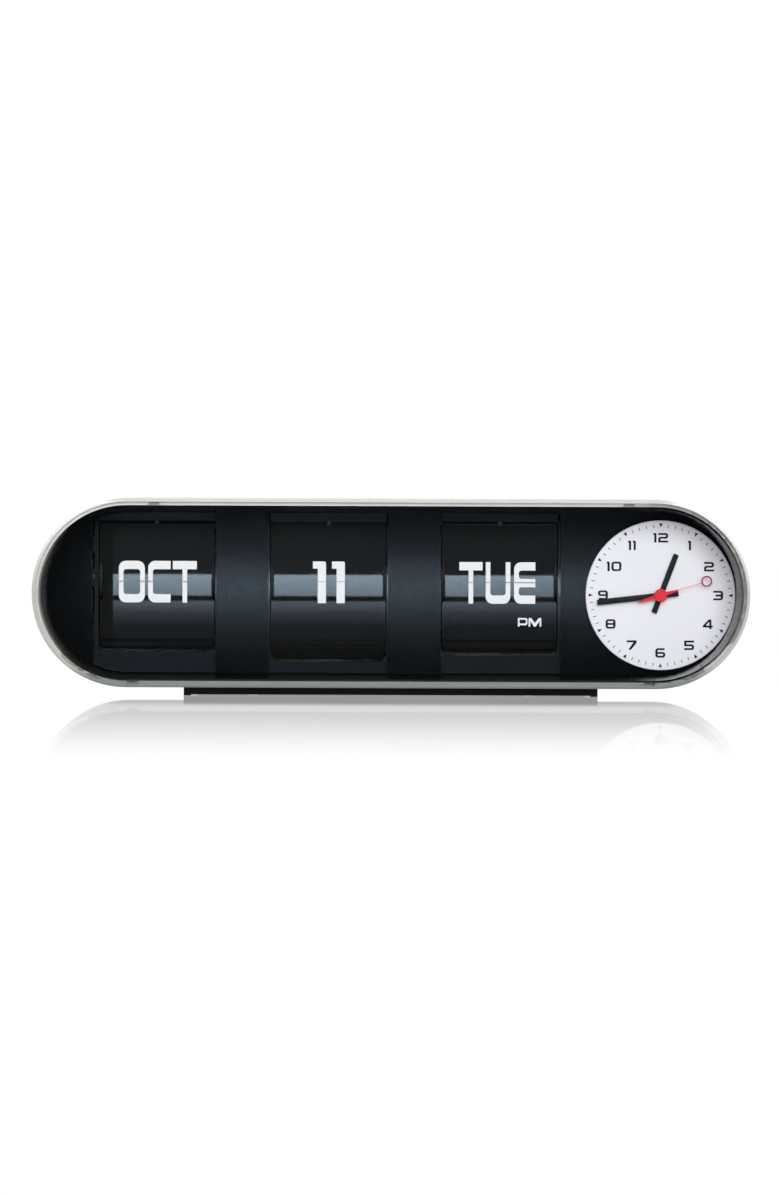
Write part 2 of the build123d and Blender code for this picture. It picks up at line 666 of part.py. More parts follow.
HOUR_PIPE = (TUBE_BORE - FIT, 1.35)
MINUTE_PIPE = (HOUR_PIPE[1] - FIT, 0.7)
SECOND_PIN = MINUTE_PIPE[1] - FIT
baton_hand("hour_hand", HOUR_ANGLE, HOUR_BLADE, HOUR_HUB, HOUR_PIPE)
baton_hand("minute_hand", MINUTE_ANGLE, MINUTE_BLADE, MINUTE_HUB, MINUTE_PIPE)

ring_distance, ring_outer, ring_inner = SECOND_RING
cap_radius, cap_back, cap_front, cap_round = SECOND_CAP
rod_end = ring_distance - (ring_outer + ring_inner) / 2
tail, tail_half = SECOND_TAIL
point, point_half = SECOND_POINT
with BuildPart() as second_hand:
    with BuildSketch(hand_plane(SECOND_BACK_Y, SECOND_ANGLE)):
        with BuildLine():
            Polyline((-tail_half, -tail), (tail_half, -tail), (SECOND_MIDDLE, 0), (point_half, point),
                     (-point_half, point), (-SECOND_MIDDLE, 0), close=True)
        make_face()
        with Locations((0, rod_end / 2)):
            Rectangle(SECOND_ROD, rod_end)
        with Locations((0, ring_distance)):
            Circle(ring_outer)
            Circle(ring_inner, mode=Mode.SUBTRACT)
    extrude(amount=HAND_SHEET)
    with BuildSketch(front_plane(cap_back, DIAL_X, DIAL_Z)):
        Circle(cap_radius)
    extrude(amount=cap_back - cap_front)
    fillet(second_hand.faces().sort_by(Axis.Y)[0].edges(), radius=cap_round)
    with BuildSketch(front_plane(ARBOR_BACK_Y, DIAL_X, DIAL_Z)):
        Circle(SECOND_PIN)
    extrude(amount=ARBOR_BACK_Y - SECOND_BACK_Y)
save(second_hand, "second_hand")

# ---- time-setting knob on a long shaft through the back of the case
with BuildPart() as time_set_knob:
    with BuildSketch(front_plane(REACH_Y, DIAL_X, KNOB_Z)):
        Circle(KNOB_RADIUS)
        with PolarLocations(KNOB_RADIUS + 0.2, 24):
            Circle(0.6, mode=Mode.SUBTRACT)
    extrude(amount=REACH_Y - REAR_Y - KNOB_GAP)
    with BuildSketch(front_plane(REACH_Y - 1, DIAL_X, KNOB_Z)):
        Circle(KNOB_SHAFT)
    extrude(amount=REACH_Y - 1 - MOVEMENT_BACK_Y + KNOB_SOCKET - KNOB_GAP)
save(time_set_knob, "time_set_knob")

# ---- battery bay: holder against the back wall, two cells and their contacts
HOLDER_FRONT_Y = INNER_REAR_Y - HOLDER[1]
CELL_Z = [BAY_Z - CELL_PITCH / 2, BAY_Z + CELL_PITCH / 2]
CONTACT = (0.4, 9)
with BuildPart() as battery_holder:
    with BuildSketch(front_plane(INNER_REAR_Y, BAY_X, BAY_Z)):
        Rectangle(HOLDER[0], HOLDER[2])
    extrude(amount=HOLDER[1])
    for z in CELL_Z:
        with BuildSketch(front_plane(INNER_REAR_Y, BAY_X, z)):
            Rectangle(POCKET[0], POCKET[2])
        extrude(amount=POCKET[1], mode=Mode.SUBTRACT)
save(battery_holder, "battery_holder")

cell_y = HOLDER_FRONT_Y + HOLDER[1] - POCKET[1] + CELL_RADIUS + 0.1
with BuildPart() as batteries:
    for z, facing in zip(CELL_Z, (-1, 1)):
        with BuildSketch(side_plane(BAY_X - CELL_LENGTH / 2, cell_y, z)):
            Circle(CELL_RADIUS)
        extrude(amount=CELL_LENGTH)
        with BuildSketch(side_plane(BAY_X + facing * CELL_LENGTH / 2, cell_y, z)):
            Circle(CELL_NUB[0])
        extrude(amount=facing * CELL_NUB[1])
save(batteries, "batteries")

with BuildPart() as battery_contacts:
    for z in CELL_Z:
        for side in (-1, 1):
            with BuildSketch(side_plane(BAY_X + side * POCKET[0] / 2, cell_y, z)):
                Rectangle(CONTACT[1], CONTACT[1])
            extrude(amount=-side * CONTACT[0])
save(battery_contacts, "battery_contacts")

# ---- battery door: hinged along its lower edge, which is rounded about the pins
door_width = DOOR_RECESS[0] - 2 * DOOR_GAP
door_high_z = DOOR_LOW_Z + DOOR_RECESS[2] - DOOR_GAP
with BuildPart() as battery_door:
    with BuildSketch(side_plane(BAY_X - door_width / 2)):
        with Locations((HINGE_Y, (HINGE_Z + door_high_z) / 2)):
            Rectangle(DOOR_THICKNESS, door_high_z - HINGE_Z)
        with Locations((HINGE_Y, HINGE_Z)):
            Circle(DOOR_THICKNESS / 2)
    extrude(amount=door_width)
    with BuildSketch(front_plane(REAR_Y, BAY_X, door_high_z)):
        Circle(DOOR_NOTCH[0])
    extrude(amount=DOOR_NOTCH[1], mode=Mode.SUBTRACT)
    pin_reach = door_width / 2 + DOOR_GAP + DOOR_PIN_LENGTH - 0.2
    with BuildSketch(side_plane(BAY_X - pin_reach, HINGE_Y, HINGE_Z)):
        Circle(DOOR_PIN)
    extrude(amount=2 * pin_reach)
save(battery_door, "battery_door")

# ---- base rail, its screws and its rubber feet
with BuildPart() as base_rail:
    with BuildSketch(Plane.XY.offset(UNDERSIDE_Z - RAIL[2])):
        Rectangle(RAIL[0], RAIL[1])
    extrude(amount=RAIL[2])
    with BuildSketch(Plane.XY.offset(UNDERSIDE_Z - RAIL[2])):
        Rectangle(RAIL[0] - 2 * RAIL_WALL, RAIL[1] - 2 * RAIL_WALL)
    extrude(amount=RAIL_POCKET, mode=Mode.SUBTRACT)
    with BuildSketch(Plane.XY.offset(UNDERSIDE_Z - RAIL[2])):
        with Locations(*BASE_SCREWS):
            Circle(RAIL_HOLE)
    extrude(amount=RAIL[2], mode=Mode.SUBTRACT)
save(base_rail, "base_rail")

with BuildPart() as base_screws:
    head_z = UNDERSIDE_Z - RAIL[2] + RAIL_POCKET
    with BuildSketch(Plane.XY.offset(head_z - BASE_SCREW_HEAD[1])):
        with Locations(*BASE_SCREWS):
            Circle(BASE_SCREW_HEAD[0])
    extrude(amount=BASE_SCREW_HEAD[1])
    with BuildSketch(Plane.XY.offset(head_z)):
        with Locations(*BASE_SCREWS):
            Circle(BASE_SCREW[0])
    extrude(amount=BASE_SCREW[1])
save(base_screws, "base_screws")

with BuildPart() as rubber_feet:
    foot_x = (RAIL[0] + FOOT[0]) / 2
    foot_y = (RAIL[1] - FOOT[1]) / 2
    with BuildSketch(Plane.XY):
        with Locations(*[(x, y) for x in (-foot_x, foot_x) for y in (-foot_y, foot_y)]):
            Rectangle(FOOT[0], FOOT[1])
    extrude(amount=FOOT[2])
save(rubber_feet, "rubber_feet")
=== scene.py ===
import json
from math import cos, pi, radians, sin

import bmesh
import bpy
from mathutils import Matrix, Vector


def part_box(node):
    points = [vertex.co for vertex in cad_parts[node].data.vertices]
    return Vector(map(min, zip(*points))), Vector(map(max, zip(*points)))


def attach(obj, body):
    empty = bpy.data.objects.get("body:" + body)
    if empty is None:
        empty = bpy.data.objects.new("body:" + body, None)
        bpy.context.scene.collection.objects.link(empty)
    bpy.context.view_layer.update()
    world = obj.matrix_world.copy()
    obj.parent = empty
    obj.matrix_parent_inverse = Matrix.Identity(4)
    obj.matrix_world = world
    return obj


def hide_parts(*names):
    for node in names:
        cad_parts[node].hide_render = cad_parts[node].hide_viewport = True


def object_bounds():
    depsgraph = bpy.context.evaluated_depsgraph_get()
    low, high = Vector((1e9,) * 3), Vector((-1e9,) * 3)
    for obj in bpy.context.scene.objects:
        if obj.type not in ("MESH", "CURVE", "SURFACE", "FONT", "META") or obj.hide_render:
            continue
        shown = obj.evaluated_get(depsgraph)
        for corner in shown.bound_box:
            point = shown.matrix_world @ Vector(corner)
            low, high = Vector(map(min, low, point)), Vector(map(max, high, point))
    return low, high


# Looks of the flip number clock. Metres, in the CAD frame: +X right, the front faces -Y, +Z up.

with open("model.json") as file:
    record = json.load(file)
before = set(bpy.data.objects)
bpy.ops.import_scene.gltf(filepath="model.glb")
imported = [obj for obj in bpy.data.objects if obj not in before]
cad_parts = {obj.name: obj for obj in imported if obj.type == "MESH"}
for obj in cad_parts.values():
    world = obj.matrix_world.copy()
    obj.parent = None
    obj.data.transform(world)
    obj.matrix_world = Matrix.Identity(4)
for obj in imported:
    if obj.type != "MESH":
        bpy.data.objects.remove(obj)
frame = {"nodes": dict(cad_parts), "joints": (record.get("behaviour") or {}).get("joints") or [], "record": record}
cad_low, cad_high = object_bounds()
nodes = frame["nodes"]
MM = 0.001
INK = 0.03                      # thickness of printed ink, in millimetres
scene = bpy.context.scene


# ---- camera
CAMERA_DISTANCE = 5             # from the front of the clock
CAMERA_HEIGHT = 0.14
AIM_X = -0.0005
AIM_HEIGHT = 0.0496
VIEW_HEIGHT = 0.5988            # height of the picture at the front of the clock
SENSOR = 36
ROLL = radians(0.22)

front = Vector((AIM_X, cad_low.y, AIM_HEIGHT))
eye = Vector((front.x, front.y - CAMERA_DISTANCE, CAMERA_HEIGHT))
camera_data = bpy.data.cameras.new("camera")
camera_data.sensor_width = SENSOR
camera_data.lens = SENSOR * CAMERA_DISTANCE / VIEW_HEIGHT
camera_data.clip_end = 50
camera = bpy.data.objects.new("camera", camera_data)
turn = (front - eye).to_track_quat("-Z", "Y").to_matrix().to_4x4()
camera.matrix_world = Matrix.Translation(eye) @ turn @ Matrix.Rotation(ROLL, 4, "Z")
scene.collection.objects.link(camera)
scene.camera = camera
scene.view_settings.view_transform = "Standard"


# ---- materials
NOISE_MIDDLE = (0.3, 0.7)       # where most of a noise's values lie
COVER_MIRROR = 0.4              # share of the mirror in the clear cover at a grazing view


def bare_material(name):
    """A material whose nodes are its output only."""
    material = bpy.data.materials.new(name)
    material.use_nodes = True
    nodes_of = material.node_tree.nodes
    nodes_of.remove(nodes_of["Principled BSDF"])
    return material


def show_mix(tree, factor, first, second, output="Material Output"):
    """Shows a mix of the shaders of two nodes, by a factor."""
    mix = tree.nodes.new("ShaderNodeMixShader")
    tree.links.new(factor, mix.inputs["Fac"])
    tree.links.new(first.outputs[0], mix.inputs[1])
    tree.links.new(second.outputs[0], mix.inputs[2])
    tree.links.new(mix.outputs["Shader"], tree.nodes[output].inputs["Surface"])


def add_node(tree, kind, **inputs):
    """A shader node with some of its inputs set. A double underscore stands for a space in an input's name."""
    node = tree.nodes.new(kind)
    for name, value in inputs.items():
        node.inputs[name.replace("__", " ")].default_value = value
    return node


def noise(tree, scale, detail=3, stretch=(1, 1, 1)):
    """Noise that stays put on the object, with scale in lumps per metre."""
    place = tree.nodes.new("ShaderNodeTexCoord")
    mapping = add_node(tree, "ShaderNodeMapping", Scale=stretch)
    texture = add_node(tree, "ShaderNodeTexNoise", Scale=scale, Detail=detail)
    tree.links.new(place.outputs["Object"], mapping.inputs["Vector"])
    tree.links.new(mapping.outputs["Vector"], texture.inputs["Vector"])
    return texture.outputs["Fac"]


def ramp(tree, source, start, end, low, high, interpolation="LINEAR"):
    """Maps a value that runs from start to end to one that runs from low to high."""
    node = add_node(tree, "ShaderNodeMapRange", From__Min=start, From__Max=end, To__Min=low, To__Max=high)
    node.interpolation_type = interpolation
    tree.links.new(source, node.inputs["Value"])
    return node.outputs["Result"]


def spread(tree, source, low, high):
    """Maps the middle half of a noise to a range of values."""
    return ramp(tree, source, *NOISE_MIDDLE, low, high)


def mixed(tree, factor, first, second):
    """A colour between two colours, by a factor."""
    node = tree.nodes.new("ShaderNodeMix")
    node.data_type = "RGBA"
    node.inputs["A"].default_value = (*first, 1)
    node.inputs["B"].default_value = (*second, 1)
    tree.links.new(factor, node.inputs["Factor"])
    return node.outputs["Result"]


def combined(tree, operation, first, second):
    """Two values put together by a maths operation."""
    node = tree.nodes.new("ShaderNodeMath")
    node.operation = operation
    tree.links.new(first, node.inputs[0])
    tree.links.new(second, node.inputs[1])
    return node.outputs["Value"]


def place_axes(tree, output="Object"):
    """The x, y and z of a place on the object, or of its normal there."""
    place = tree.nodes.new("ShaderNodeTexCoord")
    axes = tree.nodes.new("ShaderNodeSeparateXYZ")
    tree.links.new(place.outputs[output], axes.inputs["Vector"])
    return axes.outputs


def recolour(tree, shader, factor, colour):
    """Mixes another colour into the base colour of a shader."""
    before = shader.inputs["Base Color"].links[0].from_socket
    result = mixed(tree, factor, (0, 0, 0), colour)
    tree.links.new(before, result.node.inputs["A"])
    tree.links.new(result, shader.inputs["Base Color"])


def surface(name, colour, roughness, *, vary=0.06, patch=40, grain=4000, bump=0.02, depth=0.02,
            stretch=(1, 1, 1), **shader_inputs):
    """A painted, moulded or metal surface: colour and roughness drift in patches, and a fine grain bumps it.

    roughness is (low, high), patch and grain are in lumps per metre, and depth is in millimetres.
    """
    material = bpy.data.materials.new(name)
    material.use_nodes = True
    tree = material.node_tree
    shader = tree.nodes["Principled BSDF"]
    for key, value in shader_inputs.items():
        shader.inputs[key.replace("__", " ")].default_value = value
    patches = noise(tree, patch, stretch=stretch)
    fine = noise(tree, grain, detail=2, stretch=stretch)
    darker = tuple(c * (1 - vary) for c in colour)
    lighter = tuple(min(1, c * (1 + vary)) for c in colour)
    factor = spread(tree, patches, 0, 1)
    tree.links.new(mixed(tree, factor, darker, lighter), shader.inputs["Base Color"])
    tree.links.new(spread(tree, fine, *roughness), shader.inputs["Roughness"])
    node = add_node(tree, "ShaderNodeBump", Strength=bump, Distance=depth * MM)
    tree.links.new(fine, node.inputs["Height"])
    tree.links.new(node.outputs["Normal"], shader.inputs["Normal"])
    return material


def clear_surface(name, tint, haze):
    """Clear acrylic: nearly all see-through, with a weak mirror that grows towards a grazing view."""
    material = bare_material(name)
    tree = material.node_tree
    through = add_node(tree, "ShaderNodeBsdfTransparent", Color=(*tint, 1))
    gloss = add_node(tree, "ShaderNodeBsdfGlossy", Color=(0.9, 0.95, 0.93, 1))
    edge = add_node(tree, "ShaderNodeLayerWeight", Blend=0.05)
    tree.links.new(spread(tree, noise(tree, 55, detail=5), *haze), gloss.inputs["Roughness"])
    show_mix(tree, ramp(tree, edge.outputs["Fresnel"], 0, 1, 0, COVER_MIRROR), through, gloss)
    return material


CLOCK_BLACK = (0.0022, 0.0024, 0.0028)
LEAF_BLACK = (0.0088, 0.0090, 0.0092)
INK_WHITE = (0.94, 0.94, 0.98)

materials = {
    "case_plastic": surface("case_plastic", (0.56, 0.565, 0.535), (0.40, 0.52), vary=0.015, grain=2600,
                            bump=0.12, depth=0.03),
    "clear_cover": clear_surface("clear_cover", (0.995, 1, 0.998), (0.0, 0.03)),
    "tray_black": surface("tray_black", CLOCK_BLACK, (0.11, 0.15), vary=0.1, grain=1500, bump=0.003,
                          Specular__IOR__Level=0.34),
    "leaf_black": surface("leaf_black", LEAF_BLACK, (0.010, 0.022), vary=0.08, grain=300, bump=0.001),
    "wheel_black": surface("wheel_black", (0.02, 0.02, 0.021), (0.35, 0.5), bump=0.05),
    "steel": surface("steel", (0.55, 0.56, 0.57), (0.18, 0.34), grain=900, stretch=(0.1, 1, 1), Metallic=1),
    "spring_steel": surface("spring_steel", (0.06, 0.065, 0.07), (0.22, 0.36), grain=900, stretch=(1, 1, 0.1),
                            Metallic=1),
    "gear_nylon": surface("gear_nylon", (0.70, 0.68, 0.58), (0.42, 0.55), bump=0.05, Subsurface__Weight=0.1),
    "frame_dark": surface("frame_dark", (0.012, 0.015, 0.019), (0.03, 0.08), vary=0.1, bump=0.004),
    "motor_can": surface("motor_can", (0.58, 0.58, 0.59), (0.2, 0.36), grain=700, stretch=(8, 1, 1), Metallic=1),
    "screw_zinc": surface("screw_zinc", (0.36, 0.37, 0.38), (0.15, 0.3), patch=200, Metallic=1),
    "dial_white": surface("dial_white", (0.94, 0.93, 1.0), (0.5, 0.6), vary=0.008, grain=3000, bump=0.02),
    "hand_black": surface("hand_black", (0.02, 0.021, 0.022), (0.28, 0.36), vary=0.1, patch=150, bump=0.02),
    "hand_red": surface("hand_red", (0.83, 0.02, 0.045), (0.3, 0.42), vary=0.06, patch=200, bump=0.02),
    "movement_grey": surface("movement_grey", (0.05, 0.05, 0.052), (0.4, 0.55), bump=0.1),
    "knob_grey": surface("knob_grey", (0.34, 0.34, 0.32), (0.42, 0.55), vary=0.04, bump=0.1),
    "cell_wrap": surface("cell_wrap", (0.06, 0.065, 0.075), (0.15, 0.25), vary=0.1, bump=0.02,
                         Coat__Weight=0.4),
    "contact_brass": surface("contact_brass", (0.72, 0.6, 0.34), (0.2, 0.35), patch=150, Metallic=1),
    "base_black": surface("base_black", (0.003, 0.003, 0.0035), (0.45, 0.6), vary=0.12, grain=2500, bump=0.1),
    "foot_rubber": surface("foot_rubber", (0.010, 0.010, 0.010), (0.7, 0.85), vary=0.15, grain=1800, bump=0.15),
}


# ---- painted light and shade by place on the tray and the case; places are in metres
WALL_BACK_Y = -0.021            # the tray's walls: black at the back, painted light on them at the front
WALL_FRONT_Y = -0.044
WALL_BLACK_Z = 0.084            # black above this height, where the walls are in shade, and full painted light below the next
WALL_LIT_Z = 0.066
WALL_LOW_Z = 0.034              # below this height the painted light falls, to its share at the bottom
WALL_FLOOR_Z = 0.012
WALL_FLOOR = 0.10
WALL_PAINTED_LIGHT = (0.15, 0.148, 0.132)
WALL_ROUGHNESS = 0.45

SHADE_TOP_Z = 0.016             # the case's underside: shaded from this height down
SHADE_FULL_Z = 0.008
SHADE = (0.27, 0.285, 0.275)

RIM_BACK_Y = -0.0450            # the case's front rim: painted light from here forward
RIM_FRONT_Y = -0.0468
RIM_TURNED = -0.1               # y of the normal where the painted light starts, and where it is full
RIM_FACING = -0.5
RIM_MIDDLE_Z = 0.052            # it grows up to the next height
RIM_TOP_Z = 0.090
RIM_EDGE_Z = 0.0971             # and is gone at the outer edge
RIM_OUTER_Z = 0.0982
RIM_PAINTED_LIGHT = (0.88, 0.885, 0.85)


def lighten_walls(material):
    """Paints light on the tray's sloping walls, which stand in front of the flat panel, most at half height."""
    tree = material.node_tree
    shader = tree.nodes["Principled BSDF"]
    axes = place_axes(tree)
    front = ramp(tree, axes["Y"], WALL_BACK_Y, WALL_FRONT_Y, 0, 1)
    upper = ramp(tree, axes["Z"], WALL_BLACK_Z, WALL_LIT_Z, 0, 1)
    lower = ramp(tree, axes["Z"], WALL_FLOOR_Z, WALL_LOW_Z, WALL_FLOOR, 1)
    share = combined(tree, "MULTIPLY", front, combined(tree, "MULTIPLY", upper, lower))
    recolour(tree, shader, share, WALL_PAINTED_LIGHT)
    polish = shader.inputs["Roughness"].links[0].from_socket
    dull = tree.nodes.new("ShaderNodeMix")
    dull.inputs["B"].default_value = WALL_ROUGHNESS
    tree.links.new(share, dull.inputs["Factor"])
    tree.links.new(polish, dull.inputs["A"])
    tree.links.new(dull.outputs["Result"], shader.inputs["Roughness"])


def darken_underside(material):
    """Shades the case towards its underside."""
    tree = material.node_tree
    axes = place_axes(tree)
    share = ramp(tree, axes["Z"], SHADE_TOP_Z, SHADE_FULL_Z, 0, 1)
    recolour(tree, tree.nodes["Principled BSDF"], share, SHADE)


def lighten_rim(material):
    """Paints light on the upper part of the case's front edge, as if lit from above."""
    tree = material.node_tree
    axes = place_axes(tree)
    facing = ramp(tree, place_axes(tree, "Normal")["Y"], RIM_TURNED, RIM_FACING, 0, 1)
    front = combined(tree, "MULTIPLY", facing, ramp(tree, axes["Y"], RIM_BACK_Y, RIM_FRONT_Y, 0, 1))
    upper = ramp(tree, axes["Z"], RIM_MIDDLE_Z, RIM_TOP_Z, 0, 1)
    below_top = ramp(tree, axes["Z"], RIM_EDGE_Z, RIM_OUTER_Z, 1, 0)
    share = combined(tree, "MULTIPLY", front, combined(tree, "MULTIPLY", upper, below_top))
    recolour(tree, tree.nodes["Principled BSDF"], share, RIM_PAINTED_LIGHT)


# painted light on the tray's walls and on the case's front rim, and painted shade on the case's underside
lighten_walls(materials["tray_black"])
darken_underside(materials["case_plastic"])
lighten_rim(materials["case_plastic"])

ink_white = surface("ink_white", INK_WHITE, (0.35, 0.45), vary=0.012, patch=300, grain=6000, bump=0.02)
ink_black = surface("ink_black", (0.006, 0.006, 0.014), (0.4, 0.5), vary=0.15, patch=400, grain=6000)
ink_grey = surface("ink_grey", (0.20, 0.20, 0.24), (0.4, 0.5), vary=0.1, patch=400, grain=6000)

for part in frame["record"]["subparts"]:
    node = nodes[part["node"]]
    node.data.materials.clear()
    node.data.materials.append(materials[part["material_slot"]])


# ---- drawing flat shapes: outlines with rounded corners, filled and given the thickness of ink
ARC_STEPS = 6


def rounded(corners):
    """Points of a closed outline whose corners are (x, y) or (x, y, radius)."""
    points = []
    count = len(corners)
    for i, corner in enumerate(corners):
        here = Vector(corner[:2])
        if len(corner) == 2:
            points.append(here)
            continue
        back = Vector(corners[i - 1][:2]) - here
        ahead = Vector(corners[(i + 1) % count][:2]) - here
        radius = min(corner[2], back.length / 2, ahead.length / 2)
        back.normalize()
        ahead.normalize()
        centre = here + (back + ahead) * radius
        for step in range(ARC_STEPS + 1):
            angle = pi / 2 * step / ARC_STEPS
            points.append(centre - ahead * radius * cos(angle) - back * radius * sin(angle))
    return points


def sheet_mesh(name, outlines, thickness):
    """Fills closed outlines in millimetres, even-odd, as a closed mesh with its back on the local XY plane."""
    curve = bpy.data.curves.new(name, "CURVE")
    curve.dimensions = "2D"
    curve.fill_mode = "BOTH"
    curve.extrude = thickness / 2
    for outline in outlines:
        spline = curve.splines.new("POLY")
        spline.points.add(len(outline) - 1)
        spline.use_cyclic_u = True
        for point, place in zip(spline.points, outline):
            point.co = (place[0], place[1], 0, 1)
    holder = bpy.data.objects.new(name, curve)
    scene.collection.objects.link(holder)
    mesh = bpy.data.meshes.new_from_object(holder.evaluated_get(bpy.context.evaluated_depsgraph_get()))
    bpy.data.objects.remove(holder)
    mesh.name = name
    mesh.transform(Matrix.Scale(MM, 4) @ Matrix.Translation((0, 0, thickness / 2)))
    shape = bmesh.new()
    shape.from_mesh(mesh)
    bmesh.ops.remove_doubles(shape, verts=shape.verts, dist=1e-7)
    bmesh.ops.recalc_face_normals(shape, faces=shape.faces)
    shape.to_mesh(mesh)
    shape.free()
    return mesh


def piece(name, mesh, material, body, matrix):
    """Puts a mesh in the scene at a place, on a body."""
    mesh.transform(matrix)
    mesh.materials.clear()
    mesh.materials.append(material)
    thing = bpy.data.objects.new(name, mesh)
    scene.collection.objects.link(thing)
    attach(thing, body)
    return thing


# ---- figures: outlines of squared letters and numerals, w wide and h high, in millimetres
def glyph(letter, w, h, v, t, big, small):
    """Outlines of one letter. v and t are the upright and level strokes, big and small the corner radii."""
    m = h / 2
    over, under = m + t / 2, m - t / 2
    right = w - v
    top = h - t
    frame_outline = [(0, 0, big), (0, h, big), (w, h, big), (w, 0, big)]
    inside = [(v, t, small), (v, top, small), (right, top, small), (right, t, small)]
    low_hole = [(v, t, small), (v, under, small), (right, under, small), (right, t, small)]
    high_hole = [(v, over, small), (v, top, small), (right, top, small), (right, over, small)]
    six = [(0.92 * w, h), (0, h, big), (0, 0, big), (w, 0, big), (w, over, big), (v, over), (v, top, small),
           (0.92 * w, top)]
    stem = 0.86 * w
    shelf = 0.36 * h
    middle = w / 2
    shapes = {
        "0": [frame_outline, inside],
        "1": [[(w - v, 0), (w - v, top, small), (0, top), (0, h), (w, h, big / 2), (w, 0)]],
        "2": [[(0, h), (w, h, big), (w, under, big), (v, under, small), (v, t), (w, t), (w, 0), (0, 0),
               (0, over, big), (right, over, small), (right, top, small), (0, top)]],
        "3": [[(0, h), (w, h, big), (w, 0, big), (0, 0), (0, t), (right, t, small), (right, under, small),
               (v, under), (v, over), (right, over, small), (right, top, small), (0, top)]],
        "4": [[(0.58 * w, h), (stem, h), (stem, shelf), (w, shelf), (w, shelf - t), (stem, shelf - t), (stem, 0),
               (stem - v, 0), (stem - v, shelf - t), (0, shelf - t), (0, shelf)],
              [(stem - v, top), (stem - v, shelf), (0.3 * w, shelf)]],
        "5": [[(w, h), (0, h), (0, under), (right, under, small), (right, t, small), (0, t), (0, 0), (w, 0, big),
               (w, over, big), (v, over), (v, top), (w, top)]],
        "6": [six, low_hole],
        "7": [[(0, h), (w, h), (w, top - 0.3 * t), (0.44 * w, 0), (0.44 * w - 1.2 * v, 0), (w - 1.4 * v, top),
               (0, top)]],
        "8": [frame_outline, low_hole, high_hole],
        "9": [[(w - x, h - y, *radius) for x, y, *radius in shape] for shape in (six, low_hole)],
        "A": [[(0, 0), (0, h, big), (w, h, big), (w, 0), (right, 0), (right, shelf - t), (v, shelf - t), (v, 0)],
              [(v, shelf), (v, top), (right, top), (right, shelf)]],
        "C": [[(w, 0), (w, t), (v, t, small), (v, top, small), (w, top), (w, h), (0, h, big), (0, 0, big)]],
        "D": [[(0, 0), (0, h), (w, h, big), (w, 0, big)], inside],
        "E": [[(w, 0), (w, t), (v, t, small), (v, under, small), (w, under), (w, over), (v, over, small),
               (v, top, small), (w, top), (w, h), (0, h, big), (0, 0, big)]],
        "M": [[(0, 0), (0, h), (1.5 * v, h), (middle, 0.4 * h), (w - 1.5 * v, h), (w, h), (w, 0), (right, 0),
               (right, 0.66 * h), (middle + 0.5 * v, 0), (middle - 0.5 * v, 0), (v, 0.66 * h), (v, 0)]],
        "O": [frame_outline, inside],
        "N": [[(0, 0), (0, h), (1.3 * v, h), (right, 0.33 * h), (right, h), (w, h), (w, 0), (w - 1.3 * v, 0),
               (v, 0.67 * h), (v, 0)]],
        "P": [[(0, 0), (0, h), (w, h, big), (w, shelf - t, big), (v, shelf - t), (v, 0)],
              [(v, shelf), (v, top), (right, top), (right, shelf)]],
        "T": [[(0, h), (w, h), (w, top), (middle + v / 2, top), (middle + v / 2, 0), (middle - v / 2, 0),
               (middle - v / 2, top), (0, top)]],
        "U": [[(0, h), (0, 0, big), (w, 0, big), (w, h), (right, h), (right, t, small), (v, t, small), (v, h)]],
        "V": [[(0, h), (v, h), (middle, 0.25 * h), (right, h), (w, h), (middle + 0.6 * v, 0),
               (middle - 0.6 * v, 0)]],
        "W": [[(0, h), (0, 0, big), (w, 0, big), (w, h), (right, h), (right, t, small), (middle + v / 2, t, small),
               (middle + v / 2, 0.8 * h), (middle - v / 2, 0.8 * h), (middle - v / 2, t, small), (v, t, small),
               (v, h)]],
    }
    return [rounded(shape) for shape in shapes[letter]]


def word(letters, base, h, v, t, big, small):
    """Outlines of several letters, each (letter, left edge, width), standing on a base line."""
    return [[(point[0] + left, point[1] + base) for point in outline]
            for letter, left, width in letters for outline in glyph(letter, width, h, v, t, big, small)]


# ---- printed figures on the flip leaves, cut in two at the split between the leaves
FIGURE_BASE = -10.8             # below the split
FIGURE_HEIGHT = 21.0
LETTERS = (2.35, 4.2, 3.5, 1.4)     # upright stroke, level stroke, outer and inner corner radius
DIGITS = (4.15, 3.6, 1.8, 0.5)
SMALL_BASE = -22.25
SMALL_HEIGHT = 4.35
SMALL = (0.85, 0.85, 0.9, 0.3)
INK_MARGIN = 0.12               # the ink stops this short of a leaf's edge
LEAN_POWER = 1.6                # how quickly the waiting leaves lean back around the wheels


def letters(*chars):
    return word(chars, FIGURE_BASE, FIGURE_HEIGHT, *LETTERS)


def digits(*chars):
    return word(chars, FIGURE_BASE, FIGURE_HEIGHT, *DIGITS)


def small_letters(*chars):
    return word(chars, SMALL_BASE, SMALL_HEIGHT, *SMALL)


# leaves on the drum, the figures shown, and those on the next leaf; places are from the middle of the leaf
FLIP_MODULES = {
    "month": (12, letters(("O", -19.3, 13.1), ("C", -4.5, 11.3), ("T", 7.9, 12.1)),
              letters(("N", -19.3, 12.4), ("O", -5.2, 13.1), ("V", 9.2, 12.4))),
    "date": (31, digits(("1", -7.8, 6.6), ("1", 1.8, 6.5)),
             digits(("1", -11.4, 6.6), ("2", -1.8, 11.6))),
    "weekday": (14, letters(("T", -20.2, 11.7), ("U", -6.9, 12.4), ("E", 7.4, 10.7))
                + small_letters(("P", 9.4, 4.8), ("M", 14.8, 6.4)),
                letters(("W", -20.6, 14.6), ("E", -4.1, 10.7), ("D", 8.2, 12.0))
                + small_letters(("A", 9.4, 4.8), ("M", 14.8, 6.4))),
}


